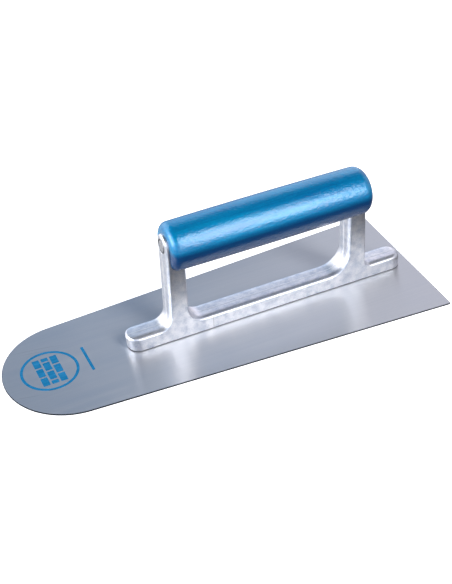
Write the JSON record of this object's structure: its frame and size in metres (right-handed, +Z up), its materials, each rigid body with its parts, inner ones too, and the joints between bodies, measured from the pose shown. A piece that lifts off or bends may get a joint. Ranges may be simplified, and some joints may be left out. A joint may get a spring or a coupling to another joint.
{
  "type": "finishing trowel",
  "caption": "Finishing trowel with a round-nosed, square-heeled steel blade riveted to a cast aluminium bracket that carries a round blue wooden grip.",
  "frame": {"origin": "middle of the blade's length and width, on its underside", "axes": "+X towards the square heel, +Z up, away from the blade's working face"},
  "size_m": [0.28, 0.1114, 0.0829],
  "materials": {
    "blade_steel": "brushed along the blade's length, satin",
    "cast_aluminium": "cast, tumbled bright, with linished sides",
    "blue_lacquer": "turned wood under a glossy blue lacquer",
    "rod_steel": "bare steel, peened ends",
    "rivet_aluminium": "ground flush with the blade"
  },
  "bodies": {
    "root": {"blade": "blade_steel", "bracket": "cast_aluminium", "grip": "blue_lacquer", "grip_rod": "rod_steel", "rivet_1": "rivet_aluminium", "rivet_2": "rivet_aluminium", "rivet_3": "rivet_aluminium", "rivet_4": "rivet_aluminium", "rivet_5": "rivet_aluminium", "rivet_6": "rivet_aluminium", "rivet_7": "rivet_aluminium", "rivet_8": "rivet_aluminium"}
  },
  "joints": []
}
